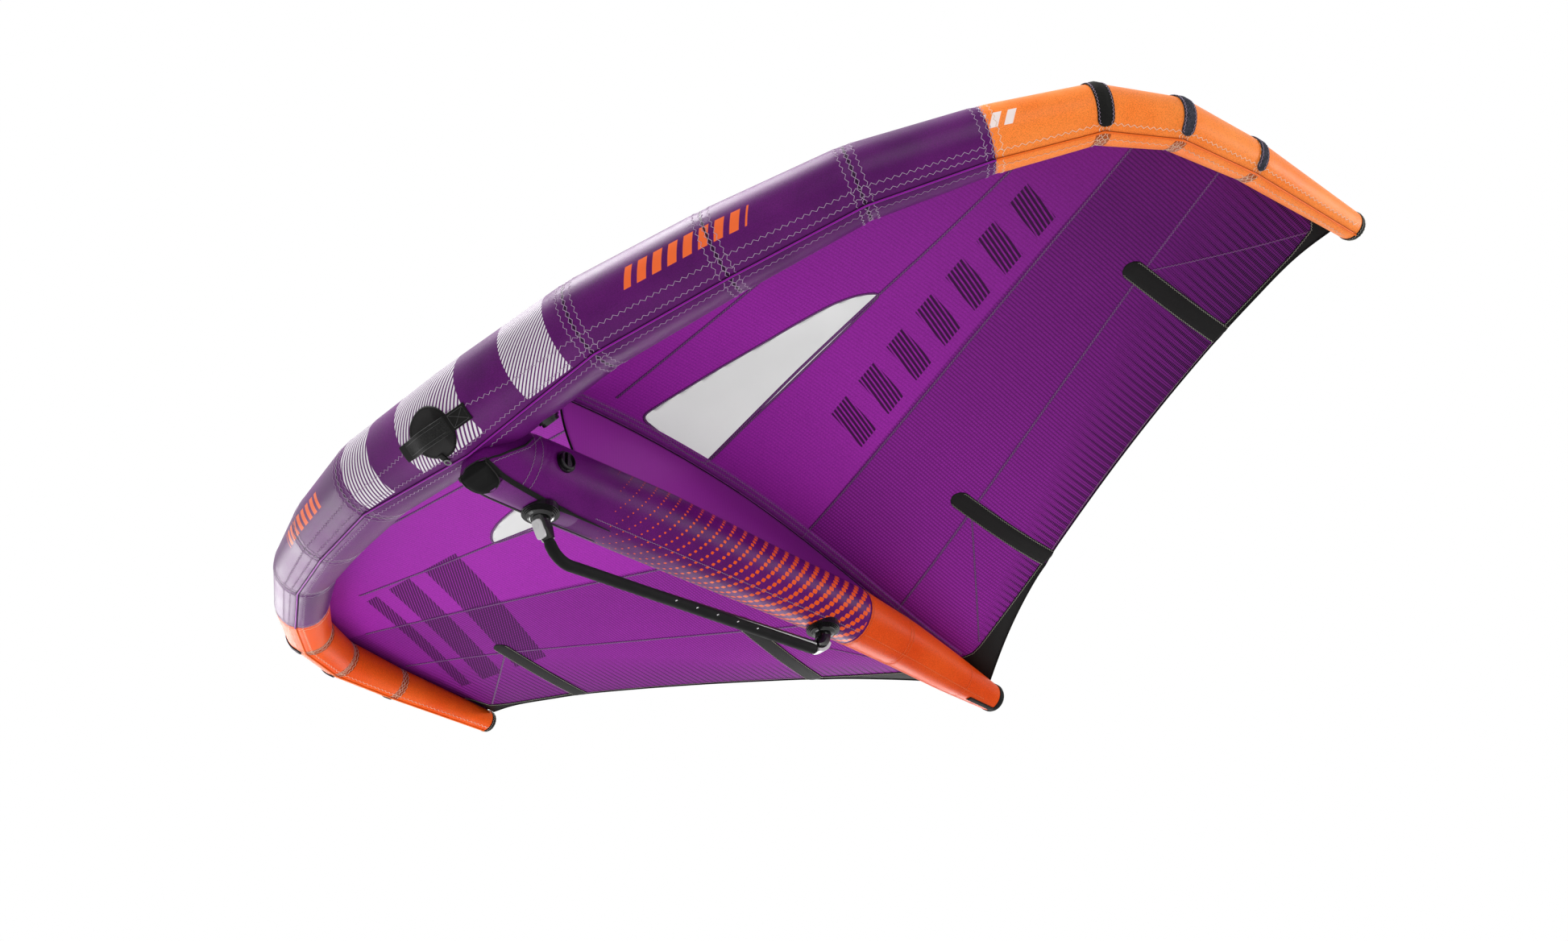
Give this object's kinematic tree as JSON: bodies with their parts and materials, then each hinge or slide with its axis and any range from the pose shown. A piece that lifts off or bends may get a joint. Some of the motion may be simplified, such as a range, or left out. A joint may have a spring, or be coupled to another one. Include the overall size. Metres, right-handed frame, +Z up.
{
  "type": "inflatable hand-held wing",
  "caption": "Hand-held inflatable wing with a swept tube leading edge, centre strut, cambered canopy with windows, and a clip-on boom held in both hands.",
  "frame": {"origin": "middle of the boom's straight grip, on its axis, where the rider's two hands carry the wing", "axes": "+X along the span, towards the right tip seen from behind; -Y towards the leading edge, +Y towards the tail; +Z up, from the boom towards the canopy"},
  "size_m": [3.4334, 2.1683, 0.6985],
  "materials": {
    "dacron_purple": "woven sailcloth, satin",
    "dacron_orange": "woven sailcloth, satin",
    "bladder_film": "film",
    "webbing_black": "woven, matt",
    "felt_grey": "rough, matt",
    "ripstop_purple": "ripstop grid, satin",
    "window_film": "translucent film",
    "moulded_black_gloss": "gloss",
    "foam_grip_black": "matt foam",
    "carbon_tube": "satin",
    "moulded_grey": "satin",
    "spring_steel": "bare",
    "fibreglass_batten": "satin",
    "cord_grey": "braided"
  },
  "bodies": {
    "boom": {"boom_grip": "foam_grip_black", "boom_tube": "carbon_tube", "front_post": "moulded_black_gloss", "rear_post": "moulded_black_gloss", "front_button_spring": "spring_steel", "rear_button_spring": "spring_steel"},
    "wing": {"batten_inner_left": "fibreglass_batten", "batten_inner_right": "fibreglass_batten", "batten_outer_left": "fibreglass_batten", "batten_outer_right": "fibreglass_batten", "batten_sleeve_inner_left": "ripstop_purple", "batten_sleeve_inner_right": "ripstop_purple", "batten_sleeve_outer_left": "ripstop_purple", "batten_sleeve_outer_right": "ripstop_purple", "canopy_left": "ripstop_purple", "canopy_right": "ripstop_purple", "front_base": "moulded_black_gloss", "handle_pad": "webbing_black", "handle_patch": "webbing_black", "handle_webbing": "webbing_black", "le_bladder": "bladder_film", "le_casing": "dacron_purple", "le_piping": "dacron_purple", "le_tip_cap_left": "webbing_black", "le_tip_cap_right": "webbing_black", "le_tip_casing_left": "dacron_orange", "le_tip_casing_right": "dacron_orange", "le_valve_body": "moulded_black_gloss", "le_valve_spring": "spring_steel", "leash_loop": "cord_grey", "leash_tab": "webbing_black", "load_pad": "dacron_purple", "nose_patch": "webbing_black", "pad_binding": "webbing_black", "profile_web": "ripstop_purple", "rear_base": "moulded_black_gloss", "strut_bladder": "bladder_film", "strut_casing_front": "dacron_purple", "strut_casing_rear": "dacron_orange", "strut_end_cap": "webbing_black", "strut_valve_body": "moulded_black_gloss", "strut_valve_spring": "spring_steel", "tail_patch": "webbing_black", "tip_patch_left": "webbing_black", "tip_patch_right": "webbing_black", "tip_strap_left_1": "webbing_black", "tip_strap_left_2": "felt_grey", "tip_strap_left_3": "felt_grey", "tip_strap_right_1": "webbing_black", "tip_strap_right_2": "felt_grey", "tip_strap_right_3": "felt_grey", "web_piping": "webbing_black", "window_left": "window_film", "window_right": "window_film"},
    "front_button": {"front_release_button": "moulded_grey"},
    "rear_button": {"rear_release_button": "moulded_grey"},
    "strut_cap": {"strut_valve_cap": "moulded_black_gloss"},
    "le_cap": {"le_valve_cap": "moulded_black_gloss"},
    "strut_poppet": {"strut_valve_poppet": "moulded_grey"},
    "le_poppet": {"le_valve_poppet": "moulded_grey"}
  },
  "joints": [
    {"name": "boom_release", "type": "slide", "parent": "boom", "child": "wing", "axis": [0, 0, 1], "range_m": [0, 0.05]},
    {"name": "front_button_press", "type": "slide", "parent": "boom", "child": "front_button", "axis": [0, 0.887, 0.4617], "range_m": [0, 0.003], "stiffness_N_per_m": 400, "springref_m": -0.003, "deforming": ["front_button_spring"]},
    {"name": "rear_button_press", "type": "slide", "parent": "boom", "child": "rear_button", "axis": [0, -0.6361, 0.7716], "range_m": [0, 0.003], "stiffness_N_per_m": 400, "springref_m": -0.003, "deforming": ["rear_button_spring"]},
    {"name": "strut_cap_turn", "type": "hinge", "parent": "wing", "child": "strut_cap", "pos_m": [0.09606, -0.549, 0.15604], "axis": [0.9994, 0, -0.0349], "range_deg": [0, 90]},
    {"name": "le_cap_turn", "type": "hinge", "parent": "wing", "child": "le_cap", "pos_m": [0.1657, -0.66356, 0.1911], "axis": [0.0094, 0.7706, -0.6373], "range_deg": [0, 90]},
    {"name": "strut_poppet_press", "type": "slide", "parent": "wing", "child": "strut_poppet", "axis": [-0.9994, 0, 0.0349], "range_m": [0, 0.004], "stiffness_N_per_m": 200, "springref_m": -0.003, "deforming": ["strut_valve_spring"]},
    {"name": "le_poppet_press", "type": "slide", "parent": "wing", "child": "le_poppet", "axis": [-0.0094, -0.7706, 0.6373], "range_m": [0, 0.004], "stiffness_N_per_m": 200, "springref_m": -0.003, "deforming": ["le_valve_spring"]}
  ]
}
